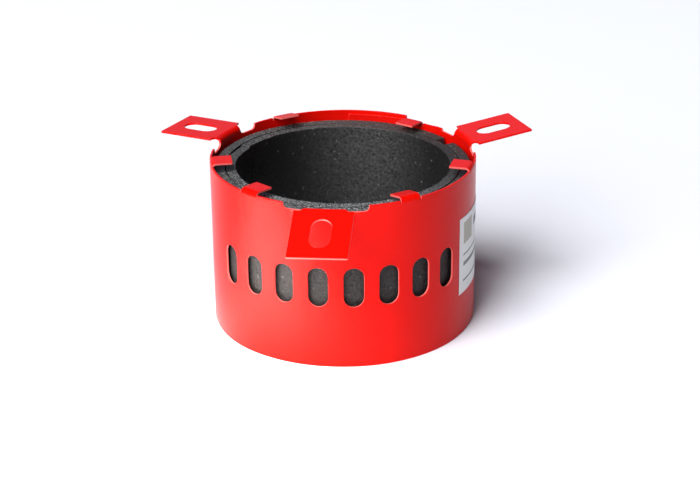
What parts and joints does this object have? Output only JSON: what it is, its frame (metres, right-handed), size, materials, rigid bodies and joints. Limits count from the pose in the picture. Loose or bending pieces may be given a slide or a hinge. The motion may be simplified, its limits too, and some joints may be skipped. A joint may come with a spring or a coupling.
{
  "type": "pipe fire collar",
  "caption": "Red folded steel collar with an intumescent liner round a pipe bore, slotted fixing lugs bent outward and retaining tabs bent inward.",
  "frame": {"origin": "on the axis of the pipe bore, in the plane of the plain edge that the collar stands on", "axes": "+Z along the bore from the plain edge towards the lugs, -Y towards the front lug, +X to its right"},
  "size_m": [0.1345, 0.1156, 0.0635],
  "materials": {
    "powder_coat": "gloss",
    "intumescent": "matte",
    "label_paper": "satin"
  },
  "bodies": {
    "root": {"steel_band": "powder_coat", "outer_liner_strip": "intumescent", "inner_liner_strip": "intumescent", "label": "label_paper"}
  },
  "joints": []
}
